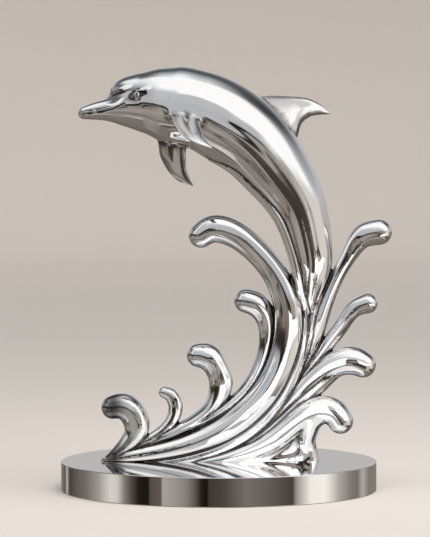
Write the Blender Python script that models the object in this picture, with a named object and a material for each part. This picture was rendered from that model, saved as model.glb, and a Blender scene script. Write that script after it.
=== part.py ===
"""A dolphin leaping out of breaking waves, in mirror-polished stainless steel, on a round base."""
import math

import bmesh
import bpy
import numpy as np
from mathutils import Matrix, Vector

# Sizes in metres
BASE_RADIUS = 0.335
BASE_HEIGHT = 0.061
BASE_CHAMFER = 0.001
SEAT_GAP = 0.0003
FIGURE_HEIGHT = 0.835

# The figure is drawn 835 units high, so that each number below is a share of its height
DRAWN_HEIGHT = 835.0
UNIT = FIGURE_HEIGHT / DRAWN_HEIGHT
SEAT = BASE_HEIGHT + SEAT_GAP

# Fineness of the faceted solids
BASE_SIDES = 84
BODY_SIDES = 24
SNOUT_SIDES = 18
STRAND_SIDES = 12
RIB_SIDES = 8
RIB_BREADTH = 20
FIN_SIDES = 12
LONGEST_STEP = 42.0
LARGEST_TURN = math.radians(20)
CAP_RINGS = 2
SPLINE_SAMPLES = 400

# The heap of waves: x, depth y, height z, half-breadth, depth over breadth, at each point
STRANDS = {
    "tall_curl": [(-246, -20, 2, 4, 1), (-193, -20, 10, 13, 1.2), (-108, -20, 24, 20, 1.2),
                  (-29, -19, 48, 25, 1.1), (39, -17, 86, 29, 1.1), (92, -15, 136, 30, 1.1),
                  (130, -14, 200, 30, 1), (147, -13, 268, 30, 1), (145, -11, 332, 30, 1),
                  (115, -8, 403, 27, 1), (73, -5, 452, 27, 1), (24, -3, 486, 29, 1),
                  (-14, -2, 492, 29, 1), (-40, -2, 477, 26, 1)],
    "inner_curl": [(-214, -2, 7, 4, 2), (-146, 0, 33, 8, 2), (-57, 2, 73, 12, 2), (24, 4, 118, 14, 2),
                   (66, 6, 160, 15, 1.6), (94, 8, 218, 15, 1.4), (104, 8, 267, 18, 1.2),
                   (98, 6, 308, 23, 1), (79, 4, 332, 26, 1), (56, 4, 340, 25, 1)],
    "middle_curl": [(-227, -4, 7, 4, 2), (-146, -3, 39, 10, 2), (-72, -2, 73, 13, 2),
                    (-25, 0, 103, 16, 1.5), (-2, 0, 135, 21, 1.2), (5, 0, 165, 25, 1),
                    (-5, 0, 197, 25, 1), (-24, 0, 220, 28, 1), (-49, 0, 224, 24, 1)],
    "small_curl": [(-227, -8, 8, 4, 2), (-163, -8, 38, 10, 1.6), (-118, -8, 65, 12, 1.4),
                   (-96, -7, 93, 14, 1.2), (-92, -7, 120, 15, 1), (-104, -7, 141, 14, 1),
                   (-117, -7, 146, 12, 1)],
    "outer_curl": [(-238, -11, 6, 5, 1.4), (-216, -13, 18, 13, 1.3), (-193, -13, 38, 19, 1.1),
                   (-175, -12, 66, 26, 1), (-181, -12, 97, 28, 1), (-201, -12, 115, 28, 1),
                   (-229, -12, 113, 24, 1)],
    "high_spray": [(-136, -2, -5, 7, 2.2), (-70, 4, 4, 8, 2.4), (-8, 6, 18, 9, 2.4),
                   (67, 8, 68, 11, 2.2), (130, 10, 132, 12, 2), (173, 12, 190, 13, 1.8), (196, 12, 239, 16, 1.5), (213, 12, 296, 19, 1.2),
                   (230, 12, 345, 17, 1.1), (254, 12, 396, 15, 1.1), (283, 12, 447, 19, 1),
                   (306, 12, 476, 25, 1), (340, 12, 485, 27, 1)],
    "short_spray": [(-112, -6, -5, 7, 2.2), (-48, -2, 3, 8, 2.3), (13, 2, 22, 9, 2.3),
                    (92, 4, 79, 11, 2), (152, 6, 143, 12, 2), (194, 8, 196, 12, 1.8),
                    (234, 8, 250, 15, 1.3), (264, 8, 291, 16, 1.1), (290, 8, 323, 18, 1),
                    (314, 8, 333, 21, 1)],
    "broad_spray": [(-96, -14, -5, 8, 1.8), (-29, -12, 5, 10, 1.9), (54, -6, 37, 13, 1.7), (111, -4, 82, 17, 1.4),
                    (160, -3, 135, 21, 1.2), (207, -2, 181, 23, 1.1), (253, -2, 208, 28, 1),
                    (287, -2, 212, 30, 1), (310, -2, 202, 27, 1)],
    "spray_web": [(35, -6, 23, 11, 2.2), (109, -6, 65, 15, 2), (156, -6, 106, 17, 1.8),
                  (194, -6, 140, 16, 1.5), (223, -5, 165, 14, 1.3), (251, -4, 187, 11, 1.2),
                  (272, -3, 197, 8, 1.2)],
    "low_spray": [(-78, -22, -8, 8, 1.6), (-2, -24, 4, 13, 1.5), (70, -24, 23, 19, 1.2),
                  (126, -24, 53, 24, 1.1), (172, -24, 92, 26, 1.1), (210, -24, 110, 29, 1),
                  (242, -24, 105, 29, 1), (259, -24, 84, 27, 1)],
    "foot": [(190, 6, -30, 36, 0.8), (189, 6, 4, 24, 0.9), (186, 2, 36, 20, 1.1),
             (191, -8, 64, 20, 1.3), (202, -18, 88, 19, 1.4)],
    "foot_web": [(13, -6, -10, 14, 2.2), (60, -4, -4, 20, 1.5), (110, 0, 4, 28, 1.0),
                 (150, 4, 14, 34, 0.7), (180, 8, 26, 38, 0.5)],
    "under_curl": [(-165, -20, -6, 7, 1.6), (-103, -22, 0, 10, 1.6), (-16, -20, 20, 13, 1.5),
                   (64, -16, 61, 15, 1.5), (122, -13, 119, 15, 1.5), (160, -11, 192, 13, 1.5),
                   (172, -8, 262, 9, 1.5)],
    "left_rib": [(-40, -6, 4, 6, 2.3), (13, -5, 29, 8, 2.5), (92, -4, 86, 11, 2.5), (145, -2, 154, 12, 2.5),
                 (174, 0, 225, 12, 2.5), (182, 2, 288, 10, 2.5), (177, 3, 345, 10, 2.2),
                 (162, 2, 384, 8, 1.8), (155, 1, 396, 5, 1.6)],
    "right_rib": [(143, 4, 145, 11, 2.4), (171, 6, 203, 11, 2.4), (190, 8, 260, 11, 2.2),
                  (200, 10, 309, 10, 2), (215, 12, 356, 10, 1.8), (234, 12, 401, 8, 1.4)],
}

# The dolphin: x, depth y, height z, half-height, breadth over height, lean of its back in degrees
BODY = [(-223, 7, 771, 19, 0.95, 18), (-209, 8, 775, 31, 0.95, 19), (-188, 7, 777, 40.5, 0.97, 22),
        (-163, 5, 775, 50.5, 0.97, 25), (-135, 3, 769, 62.5, 0.96, 28), (-103, 1, 760, 75, 0.93, 31),
        (-65, 0, 753, 82, 0.9, 33), (13, 0, 719, 89, 0.88, 33), (79, 0, 669, 84, 0.87, 33),
        (125, 0, 612, 75, 0.86, 33), (171, 1, 537, 60, 0.86, 33), (189, 2, 472, 52, 0.86, 33),
        (197, 3, 422, 45, 0.9, 30), (196, 4, 373, 30, 1.1, 20), (192, 5, 322, 10, 1.5, 10)]
SNOUT = [(-288, 0, 737.5, 12.5, 1.1, 15), (-273, 0, 740, 16, 1.05, 15), (-252, 0, 743, 20, 1.05, 16),
         (-226, 0, 745, 27, 1.12, 17), (-209, 0, 747, 36, 1.1, 19), (-188, 0, 750, 46, 1.05, 22),
         (-163, 0, 752, 56, 1.0, 25), (-135, 0, 753, 65, 0.95, 28), (-103, 0, 752, 72, 0.9, 31)]

# The ridge along the near edge of the belly, in the strands' terms
BELLY_RIDGE = [(-20, -28, 640, 3, 1), (23, -40, 621, 8, 1), (66, -40, 584, 10, 1), (121, -35, 522, 10.5, 1),
               (145, -31, 469, 10, 1), (161, -26, 414, 10, 1), (172, -18, 361, 9, 1), (188, -8, 318, 5, 1)]

# The eyes: place along the snout and rise over its middle
EYE_AT = 0.635
EYE_RISE = 3.5
EYE_LID = (21, 8, 5)
EYE_BALL = 7.5
EYE_SIDES = 10

# The mouth: distance behind the snout's tip, out from the middle, and height
MOUTH = [(-12.5, 0, -5), (-7, 11, -6), (16, 15.5, -7.5), (43, 19.5, -9.5), (61, 27, -9.8), (80, 37, -7.4),
         (91, 43, -5.5)]
MOUTH_GROOVE = 2.2
MOUTH_SIDES = 5

# Fins: distance along the fin, leading edge, trailing edge and half-thickness
DORSAL_FIN = [(12, 110, -60, 10), (40, 115, -45, 10), (80, 114, -8, 9), (101, 112, 22, 8), (112, 111, 43, 7),
              (125, 109, 55, 6), (142, 106, 63, 5), (159, 98, 65.5, 4), (174, 87, 66, 3), (185, 75, 66, 2),
              (190, 70, 67, 1)]
DORSAL_AT = 0.472
DORSAL_SWEEP = math.radians(54)
FLIPPER = [(-25, 28, -50, 8), (0, 35, -38, 8), (20, 41, -25, 7.5), (42, 42, -11, 6.5), (60, 40, -3, 5.5),
           (76, 35, 2, 5), (91, 27, 3, 4), (104, 16, 3, 2.5), (112, 7, 2, 1.2)]
FLIPPER_AT = 0.222
FLIPPER_ROOT = {1: (6, 51, 59), -1: (-14, 51, 54)}
FLIPPER_SPLAY = {1: math.radians(21), -1: math.radians(45)}
FLIPPER_SWEEP = {1: math.radians(51), -1: math.radians(55)}


def clear_scene():
    for old in list(bpy.data.objects):
        bpy.data.objects.remove(old, do_unlink=True)


def steel(name, color, roughness):
    material = bpy.data.materials.new(name)
    material.use_nodes = True
    shader = material.node_tree.nodes["Principled BSDF"]
    shader.inputs["Base Color"].default_value = (*color, 1.0)
    shader.inputs["Metallic"].default_value = 1.0
    shader.inputs["Roughness"].default_value = roughness
    return material


def new_object(name, shape, material=None):
    """Turns a bmesh in drawing units into an object, with outward faces"""
    bmesh.ops.recalc_face_normals(shape, faces=shape.faces)
    mesh = bpy.data.meshes.new(name)
    shape.to_mesh(mesh)
    shape.free()
    piece = bpy.data.objects.new(name, mesh)
    bpy.context.scene.collection.objects.link(piece)
    if material:
        mesh.materials.append(material)
    return piece


def through(points, places):
    """Reads a natural cubic spline through the points, at places from 0 to 1 of its length"""
    points = np.array(points, float)
    lengths = np.linalg.norm(np.diff(points[:, :3], axis=0), axis=1)
    knots = np.concatenate([[0], np.cumsum(lengths)])
    count = len(knots)
    system = np.eye(count)
    right = np.zeros(points.shape)
    for i in range(1, count - 1):
        before, after = lengths[i - 1], lengths[i]
        system[i, i - 1:i + 2] = before, 2 * (before + after), after
        right[i] = 6 * ((points[i + 1] - points[i]) / after - (points[i] - points[i - 1]) / before)
    bend = np.linalg.solve(system, right)
    place = np.atleast_1d(places) * knots[-1]
    k = np.clip(np.searchsorted(knots, place, side="right") - 1, 0, count - 2)
    span = lengths[k][:, None]
    left, rest = (knots[k + 1] - place)[:, None], (place - knots[k])[:, None]
    return ((bend[k] * left ** 3 + bend[k + 1] * rest ** 3) / (6 * span)
            + (points[k] / span - bend[k] * span / 6) * left
            + (points[k + 1] / span - bend[k + 1] * span / 6) * rest)


def ring_places(points):
    """Places along a path where rings stand, closer together where it turns"""
    places = np.linspace(0, 1, SPLINE_SAMPLES)
    path = through(points, places)[:, :3]
    moves = np.diff(path, axis=0)
    lengths = np.linalg.norm(moves, axis=1)
    ways = moves / lengths[:, None]
    turns = np.arccos(np.clip((ways[1:] * ways[:-1]).sum(axis=1), -1, 1))
    cost = lengths / LONGEST_STEP
    cost[1:] += turns / LARGEST_TURN
    total = np.concatenate([[0], np.cumsum(cost)])
    count = max(3, math.ceil(total[-1]))
    return np.interp(np.linspace(0, total[-1], count + 1), total, places)


def frame_at(points, place):
    """Centre, direction, upward and sideways axes, half-height and half-breadth of a path's section"""
    near = np.clip([place - 0.002, place + 0.002], 0, 1)
    ends = through(points, near)[:, :3]
    row = through(points, place)[0]
    way = Vector(ends[1] - ends[0]).normalized()
    depth = Vector((0, 1, 0))
    side = (depth - way * depth.dot(way)).normalized()
    lean = Matrix.Rotation(-math.radians(row[5]) if len(row) > 5 else 0, 3, way)
    up = lean @ way.cross(side)
    return Vector(row[:3]), way, up, lean @ side, row[3], row[3] * row[4]


def ring(shape, centre, up, side, half_up, half_side, sides):
    corners = []
    for i in range(sides):
        angle = 2 * math.pi * (i + 0.5) / sides
        offset = up * (half_up * math.cos(angle)) + side * (half_side * math.sin(angle))
        corners.append(shape.verts.new(centre + offset))
    return corners


def skin(shape, rings, first, last):
    """Joins the rings with faces and closes both ends with a point"""
    for before, after in zip(rings, rings[1:]):
        for i in range(len(before)):
            j = (i + 1) % len(before)
            shape.faces.new((before[i], before[j], after[j], after[i]))
    for end, tip in ((rings[0], first), (rings[-1], last)):
        point = shape.verts.new(tip)
        for i in range(len(end)):
            shape.faces.new((end[i], end[(i + 1) % len(end)], point))


def swept(name, points, sides):
    """A round-ended bar along a path, with elliptical sections"""
    shape = bmesh.new()
    frames = [frame_at(points, place) for place in ring_places(points)]
    angles = [math.pi / 2 * (i + 1) / (CAP_RINGS + 1) for i in range(CAP_RINGS)]
    caps = []
    tips = []
    for (centre, way, up, side, high, broad), outward in ((frames[0], -1), (frames[-1], 1)):
        reach = way * (min(high, broad) * outward)
        caps.append([ring(shape, centre + reach * math.sin(a), up, side, high * math.cos(a),
                          broad * math.cos(a), sides) for a in angles])
        tips.append(centre + reach)
    middle = [ring(shape, c, up, side, high, broad, sides) for c, _, up, side, high, broad in frames]
    skin(shape, caps[0][::-1] + middle + caps[1], *tips)
    return new_object(name, shape)


def blade(name, stations, origin, along, forward, flat):
    """A fin with lens-shaped sections between its leading and trailing edges"""
    shape = bmesh.new()
    rings = []
    for reach, lead, trail, thick in stations:
        centre = origin + along * reach + forward * (lead + trail) / 2
        rings.append(ring(shape, centre, forward, flat, (lead - trail) / 2, thick, FIN_SIDES))
    first = origin + along * stations[0][0] + forward * (stations[0][1] + stations[0][2]) / 2
    end = stations[-1]
    last = origin + along * (end[0] + end[3]) + forward * (end[1] + end[2]) / 2
    skin(shape, rings, first, last)
    return new_object(name, shape)


def dorsal_fin():
    centre, way, up, side, _, _ = frame_at(BODY, DORSAL_AT)
    along = way * math.cos(DORSAL_SWEEP) + up * math.sin(DORSAL_SWEEP)
    forward = up * math.cos(DORSAL_SWEEP) - way * math.sin(DORSAL_SWEEP)
    return blade("dorsal_fin", DORSAL_FIN, centre, along, forward, side)


def flipper(hand):
    """A pectoral fin: hand is 1 on the near side and -1 on the far side"""
    centre, way, up, side, _, _ = frame_at(BODY, FLIPPER_AT)
    out, down = side * -hand, -up
    back, breadth, depth = FLIPPER_ROOT[hand]
    root = centre + way * back + out * breadth + down * depth
    splay, sweep = FLIPPER_SPLAY[hand], FLIPPER_SWEEP[hand]
    hang = out * math.sin(splay) + down * math.cos(splay)
    along = way * math.cos(sweep) + hang * math.sin(sweep)
    forward = hang * math.cos(sweep) - way * math.sin(sweep)
    return blade("flipper", FLIPPER, root, along, forward, along.cross(forward))


def eye(hand):
    """The lids, as a low almond, and the ball between them"""
    centre, way, up, side, _, broad = frame_at(SNOUT, EYE_AT)
    out = side * -hand
    place = Matrix.Translation(centre + out * broad + up * EYE_RISE) @ Matrix((way, up, out)).transposed().to_4x4()
    pieces = []
    for name, size in (("lids", EYE_LID), ("ball", (EYE_BALL, EYE_BALL, EYE_BALL))):
        shape = bmesh.new()
        bmesh.ops.create_uvsphere(shape, u_segments=EYE_SIDES, v_segments=EYE_SIDES // 2, radius=1.0,
                                  matrix=place @ Matrix.Diagonal((*size, 1)))
        pieces.append(new_object(name, shape))
    return pieces


def mouth():
    """The groove between the jaws, round the snout from corner to corner"""
    tip, way, up, side, _, _ = frame_at(SNOUT, 0)
    line = [(along, -out, high) for along, out, high in reversed(MOUTH[1:])] + MOUTH
    points = [tip + way * along + side * out + up * high for along, out, high in line]
    return swept("mouth", [(*point, MOUTH_GROOVE, 1) for point in points], MOUTH_SIDES)


def fuse(whole, tool, operation="UNION"):
    """Joins the tool to the whole, or cuts it away, and takes the tool out of the scene"""
    cut = whole.modifiers.new(operation, "BOOLEAN")
    cut.operation = operation
    cut.solver = "MANIFOLD"
    cut.object = tool
    graph = bpy.context.evaluated_depsgraph_get()
    mesh = bpy.data.meshes.new_from_object(whole.evaluated_get(graph))
    whole.modifiers.clear()
    whole.data = mesh
    bpy.data.objects.remove(tool, do_unlink=True)


def block_below(height):
    """A cutter that fills everything the figure has below a height"""
    shape = bmesh.new()
    bmesh.ops.create_cube(shape, size=1.0)
    size = Vector((1.2, 0.5, 0.25)) * DRAWN_HEIGHT
    for corner in shape.verts:
        corner.co = Vector([a * b for a, b in zip(corner.co, size)]) - Vector((0, 0, size.z / 2 - height))
    return new_object("below_seat", shape)


def figure(material):
    """The dolphin and the waves, fused into one solid that stands flat on the base"""
    whole = swept("dolphin_and_waves", BODY, BODY_SIDES)
    fuse(whole, swept("snout", SNOUT, SNOUT_SIDES))
    fuse(whole, swept("belly_ridge", BELLY_RIDGE, RIB_SIDES))
    for piece in (*eye(1), *eye(-1), dorsal_fin(), flipper(1), flipper(-1)):
        fuse(whole, piece)
    fuse(whole, mouth(), "DIFFERENCE")
    for name, points in STRANDS.items():
        broadest = max(point[3] for point in points)
        fuse(whole, swept(name, points, STRAND_SIDES if broadest > RIB_BREADTH else RIB_SIDES))
    fuse(whole, block_below(0), "DIFFERENCE")
    whole.data.transform(Matrix.Translation((0, 0, SEAT)) @ Matrix.Scale(UNIT, 4))
    whole.data.materials.clear()
    whole.data.materials.append(material)
    return whole


def round_base(material):
    shape = bmesh.new()
    bmesh.ops.create_cone(shape, cap_ends=True, segments=BASE_SIDES, radius1=BASE_RADIUS,
                          radius2=BASE_RADIUS, depth=BASE_HEIGHT,
                          matrix=Matrix.Translation((0, 0, BASE_HEIGHT / 2)))
    rims = [edge for edge in shape.edges if abs(edge.verts[0].co.z - edge.verts[1].co.z) < BASE_CHAMFER]
    bmesh.ops.bevel(shape, geom=rims, offset=BASE_CHAMFER, segments=1, affect="EDGES")
    return new_object("round_base", shape, material)


clear_scene()
figure(steel("polished_steel", (0.78, 0.77, 0.76), 0.04))
round_base(steel("base_steel", (0.62, 0.61, 0.60), 0.08))
for part in bpy.context.scene.objects:
    part.data.shade_smooth()
    part.data.set_sharp_from_angle(angle=math.radians(35))
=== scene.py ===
"""Looks of the leaping dolphin: one fused, mirror-polished steel figure on a round steel base."""
import math

import bmesh
import bpy
import numpy as np
from mathutils import Matrix, Vector


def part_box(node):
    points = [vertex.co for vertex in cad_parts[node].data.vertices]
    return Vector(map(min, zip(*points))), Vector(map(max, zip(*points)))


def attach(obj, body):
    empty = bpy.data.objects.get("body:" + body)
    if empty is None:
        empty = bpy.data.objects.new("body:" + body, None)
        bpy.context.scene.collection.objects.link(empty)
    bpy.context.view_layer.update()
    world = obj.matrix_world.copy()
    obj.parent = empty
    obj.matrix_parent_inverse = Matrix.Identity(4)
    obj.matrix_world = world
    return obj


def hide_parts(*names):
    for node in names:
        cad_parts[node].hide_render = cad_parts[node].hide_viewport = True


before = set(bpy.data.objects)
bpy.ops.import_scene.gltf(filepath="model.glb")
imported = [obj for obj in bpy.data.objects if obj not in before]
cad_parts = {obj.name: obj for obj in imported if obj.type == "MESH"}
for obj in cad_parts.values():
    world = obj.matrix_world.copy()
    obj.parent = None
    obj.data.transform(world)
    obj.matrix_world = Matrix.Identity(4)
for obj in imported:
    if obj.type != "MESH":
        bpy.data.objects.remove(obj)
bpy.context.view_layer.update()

# The figure is drawn 835 units high, as its solid is, and set on the base
BASE_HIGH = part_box("round_base")[1]
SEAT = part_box("dolphin_and_waves")[0].z
DRAWN_HEIGHT, FIGURE_HEIGHT = 835.0, 0.835
UNIT = FIGURE_HEIGHT / DRAWN_HEIGHT

# Fineness of the rough bars and fins, with lengths in drawing units
TUBE_SIDES, TUBE_STEP, FEWEST_STEPS = 40, 5.0, 8
CAP_STEPS, CAP_END = 8, 0.01
BLADE_SIDES, BLADE_RINGS = 48, 60

# The skin wrapped round them: the size of its squares, how many triangles it keeps, how often those
# round the head's carving are halved and how far out, and how often its points move onto the surface
SQUARE = 1.9
MOST_TRIANGLES = 158000
FINE_ROUNDS, FINE_REACH = 2, 4.0
FIRST_SETTLING, SETTLING = 3, 2

# How the distance to the surface is worked out, in drawing units: how near a part counts, the step
# for a slope, the distance of what isn't near, the search for the nearest place on a bar, the least
# sizes of a section, and how far a point moves at once
REACH, SLOPE_STEP, FAR = 34.0, 0.25, 1e3
SEARCHES, LEAST_RATE, LONGEST_STRIDE = 3, 0.2, 12.0
NARROWEST, THINNEST = 1.0, 0.5
LEAST_SLOPE, LONGEST_MOVE = 0.3, 2.0
TINY, TINIER = 1e-6, 1e-9

# Fillets in the valleys, in drawing units
STRAND_FILLET = 3.4
FOOT_FILLET = 14.0
TAIL_FILLET = 7.0
FIN_FILLET = 9.0
RIDGE_FILLET = 2.5
HEAD_FILLET = (2.5, 34.0)
HEAD_FILLET_FROM, HEAD_FILLET_TO = -196.0, -120.0

# The waves: x, depth y, height z, half-breadth, depth over breadth, at each point
STRANDS = {
    "tall_curl": [(-246, -20, 2, 4, 1), (-193, -20, 10, 13, 1.2), (-108, -20, 24, 20, 1.2),
                  (-29, -19, 48, 25, 1.1), (39, -17, 86, 29, 1.1), (92, -15, 136, 30, 1.1),
                  (130, -14, 200, 30, 1), (147, -13, 268, 30, 1), (145, -11, 332, 30, 1),
                  (115, -8, 403, 27, 1), (73, -5, 452, 27, 1), (24, -3, 486, 29, 1),
                  (-14, -2, 492, 29, 1), (-40, -2, 477, 26, 1)],
    "inner_curl": [(-214, -2, 7, 4, 2), (-146, 0, 33, 8, 2), (-57, 2, 73, 12, 2), (24, 4, 118, 14, 2),
                   (66, 6, 160, 15, 1.6), (94, 8, 218, 15, 1.4), (104, 8, 267, 18, 1.2),
                   (98, 6, 308, 23, 1), (79, 4, 332, 26, 1), (56, 4, 340, 25, 1)],
    "middle_curl": [(-227, -4, 7, 4, 2), (-146, -3, 39, 10, 2), (-72, -2, 73, 13, 2),
                    (-25, 0, 103, 16, 1.5), (-2, 0, 135, 21, 1.2), (5, 0, 165, 25, 1),
                    (-5, 0, 197, 25, 1), (-24, 0, 220, 28, 1), (-49, 0, 224, 24, 1)],
    "small_curl": [(-227, -8, 8, 4, 2), (-163, -8, 38, 10, 1.6), (-118, -8, 65, 12, 1.4),
                   (-96, -7, 93, 14, 1.2), (-92, -7, 120, 15, 1), (-104, -7, 141, 14, 1),
                   (-117, -7, 146, 12, 1)],
    "outer_curl": [(-238, -11, 6, 5, 1.4), (-216, -13, 18, 13, 1.3), (-193, -13, 38, 19, 1.1),
                   (-175, -12, 66, 26, 1), (-181, -12, 97, 28, 1), (-201, -12, 115, 28, 1),
                   (-229, -12, 113, 24, 1)],
    "high_spray": [(-136, -2, -5, 7, 2.2), (-70, 4, 4, 8, 2.4), (-8, 6, 18, 9, 2.4),
                   (67, 8, 68, 11, 2.2), (130, 10, 132, 12, 2), (173, 12, 190, 13, 1.8),
                   (196, 12, 239, 16, 1.5), (213, 12, 296, 19, 1.2), (230, 12, 345, 17, 1.1),
                   (254, 12, 396, 15, 1.1), (283, 12, 447, 19, 1), (306, 12, 476, 25, 1),
                   (340, 12, 485, 27, 1)],
    "short_spray": [(-112, -6, -5, 7, 2.2), (-48, -2, 3, 8, 2.3), (13, 2, 22, 9, 2.3),
                    (92, 4, 79, 11, 2), (152, 6, 143, 12, 2), (194, 8, 196, 12, 1.8),
                    (234, 8, 250, 15, 1.3), (264, 8, 291, 16, 1.1), (290, 8, 323, 18, 1),
                    (314, 8, 333, 21, 1)],
    "broad_spray": [(-96, -14, -5, 8, 1.8), (-29, -12, 5, 10, 1.9), (54, -6, 37, 13, 1.7),
                    (111, -4, 82, 17, 1.4), (160, -3, 135, 21, 1.2), (207, -2, 181, 23, 1.1),
                    (253, -2, 208, 28, 1), (287, -2, 212, 30, 1), (310, -2, 202, 27, 1)],
    "spray_web": [(35, -6, 23, 11, 2.2), (109, -6, 65, 15, 2), (156, -6, 106, 17, 1.8),
                  (194, -6, 140, 16, 1.5), (223, -5, 165, 14, 1.3), (251, -4, 187, 11, 1.2),
                  (272, -3, 197, 8, 1.2)],
    "low_spray": [(-78, -22, -8, 8, 1.6), (-2, -24, 4, 13, 1.5), (70, -24, 23, 19, 1.2),
                  (126, -24, 53, 24, 1.1), (172, -24, 92, 26, 1.1), (210, -24, 110, 29, 1),
                  (242, -24, 105, 29, 1), (259, -24, 84, 27, 1)],
    "foot": [(190, 6, -30, 36, 0.8), (189, 6, 4, 24, 0.9), (186, 2, 36, 20, 1.1),
             (191, -8, 64, 20, 1.3), (202, -18, 88, 19, 1.4)],
    "foot_web": [(13, -6, -10, 14, 2.2), (60, -4, -4, 20, 1.5), (110, 0, 4, 28, 1.0),
                 (150, 4, 14, 34, 0.7), (180, 8, 26, 38, 0.5)],
    "under_curl": [(-165, -20, -6, 7, 1.6), (-103, -22, 0, 10, 1.6), (-16, -20, 20, 13, 1.5),
                   (64, -16, 61, 15, 1.5), (122, -13, 119, 15, 1.5), (160, -11, 192, 13, 1.5),
                   (172, -8, 262, 9, 1.5)],
    "left_rib": [(-40, -6, 4, 6, 2.3), (13, -5, 29, 8, 2.5), (92, -4, 86, 11, 2.5), (145, -2, 154, 12, 2.5),
                 (174, 0, 225, 12, 2.5), (182, 2, 288, 10, 2.5), (177, 3, 345, 10, 2.2),
                 (162, 2, 384, 8, 1.8), (155, 1, 396, 5, 1.6)],
    "right_rib": [(143, 4, 145, 11, 2.4), (171, 6, 203, 11, 2.4), (190, 8, 260, 11, 2.2),
                  (200, 10, 309, 10, 2), (215, 12, 356, 10, 1.8), (234, 12, 401, 8, 1.4)],
}

# Strands that share the broad fillets under the low spray
FOOT_GROUP = ("low_spray", "foot", "foot_web")

# The dolphin: x, depth y, height z, half-height, breadth over height, lean of its back in degrees
BODY = [(-223, 7, 771, 19, 0.95, 18), (-209, 8, 775, 31, 0.95, 19), (-188, 7, 777, 40.5, 0.97, 22),
        (-163, 5, 775, 50.5, 0.97, 25), (-135, 3, 769, 62.5, 0.96, 28), (-103, 1, 760, 75, 0.93, 31),
        (-65, 0, 753, 82, 0.9, 33), (13, 0, 719, 89, 0.88, 33), (79, 0, 669, 84, 0.87, 33),
        (125, 0, 612, 75, 0.86, 33), (171, 1, 537, 60, 0.86, 33), (189, 2, 472, 52, 0.86, 33),
        (197, 3, 422, 45, 0.9, 30), (196, 4, 373, 30, 1.1, 20), (192, 5, 322, 10, 1.5, 10)]
SNOUT = [(-288, 0, 737.5, 12.5, 1.1, 15), (-273, 0, 740, 16, 1.05, 15), (-252, 0, 743, 20, 1.05, 16),
         (-226, 0, 745, 27, 1.12, 17), (-209, 0, 747, 36, 1.1, 19), (-188, 0, 750, 46, 1.05, 22),
         (-163, 0, 752, 56, 1.0, 25), (-135, 0, 753, 65, 0.95, 28), (-103, 0, 752, 72, 0.9, 31)]

# The ridge along the near edge of the belly, in the strands' terms
BELLY_RIDGE = [(-20, -28, 640, 3, 1), (23, -40, 621, 8, 1), (66, -40, 584, 10, 1), (121, -35, 522, 10.5, 1),
               (145, -31, 469, 10, 1), (161, -26, 414, 10, 1), (172, -18, 361, 9, 1), (188, -8, 318, 5, 1)]

# The head's carving: the mouth behind the snout's tip and its height, the lip line over it, the eyes
# with the distances over which their painted shade fades, and the crease
MOUTH = [(-12.5, -5), (-7, -6), (16, -7.5), (43, -9.5), (61, -9.8), (80, -7.4), (91, -5.5)]
MOUTH_GROOVE = 3.0
LIP_LIFT = (7.5, 7.5, 7, 7.5, 7, 4.5, 1)
LIP_GROOVE = 1.6
JAW_BREADTH, JAW_TRIES = 60, 241
EYE_AT = 0.635
EYE_RISE = 3.5
EYE_LIDS = (28, 12, 5)
EYE_OPENING = (21, 7.5, 8)
EYE_BALL = 8.5
EYE_SUNK = 2.5
PUPIL, PUPIL_EDGE = 3.0, 0.8
LID_SHADE, BALL_SHADE = (1.2, 0.3), (0.2, 0.9)
CARVED_EDGE = 0.8
CREASE_DEPTH, CREASE_WIDTH = 5.0, 4.0
CREASE_FROM, CREASE_TO = -262.0, -186.0

# Fins: distance along the fin, leading edge, trailing edge and half-thickness. Hand 1 is the near side.
DORSAL_FIN = [(12, 110, -60, 10), (40, 115, -45, 10), (80, 114, -8, 9), (101, 112, 22, 8), (112, 111, 43, 7),
              (125, 109, 55, 6), (142, 106, 63, 5), (159, 98, 65.5, 4), (174, 87, 66, 3), (185, 75, 66, 2),
              (190, 70, 67, 1)]
DORSAL_AT = 0.472
DORSAL_FRONT = 0.5
DORSAL_SWEEP = math.radians(54)
FLIPPER = [(-25, 28, -50, 8), (0, 35, -38, 8), (20, 41, -25, 7.5), (42, 42, -11, 6.5), (60, 40, -3, 5.5),
           (76, 35, 2, 5), (91, 27, 3, 4), (104, 16, 3, 2.5), (112, 7, 2, 1.2)]
FLIPPER_AT = 0.222
FLIPPER_ROOT = {1: (6, 51, 59), -1: (-14, 51, 54)}
FLIPPER_SPLAY = {1: math.radians(21), -1: math.radians(45)}
FLIPPER_FOLD, FOLD_WIDTH, FOLD_ENDS = 0.45, 9.0, 0.8
FIN_CAP = 2.5
FLIPPER_SWEEP = {1: math.radians(51), -1: math.radians(55)}

# Shallow flutes that the polishing left along the bars: depth, how many round the section, and how
# far along the bar they shift by a radian. On the dolphin they keep to its underside.
STRAND_FLUTES = [(0.36, 5, 90.0), (0.2, 12, -70.0)]
BELLY_FLUTES = [(0.5, 13, 170.0), (0.2, 29, -110.0)]
BELLY_FROM, BELLY_TO = math.radians(84), math.radians(112)
FLUTES_END = 40.0

# Painted shade, near-black in tight hollows and dull and warm in broad ones: the step over which the bend is
# measured, and how strong it is where the layer starts and where it is full
SHADE_BEND = (1.1, 0.03, 0.13)
BROAD_SHADE_BEND = (7.0, 0.0, 0.06)

# The camera stands where the photograph's stood
IMAGE_HEIGHT = 537
FOCAL_PIXELS = 3400.0
CAMERA_PLACE = (-0.008, -7.204, 0.8285)
CAMERA_PITCH = math.radians(2.85)
CAMERA_SIGHT = 50.0
SENSOR = 36.0

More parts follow.
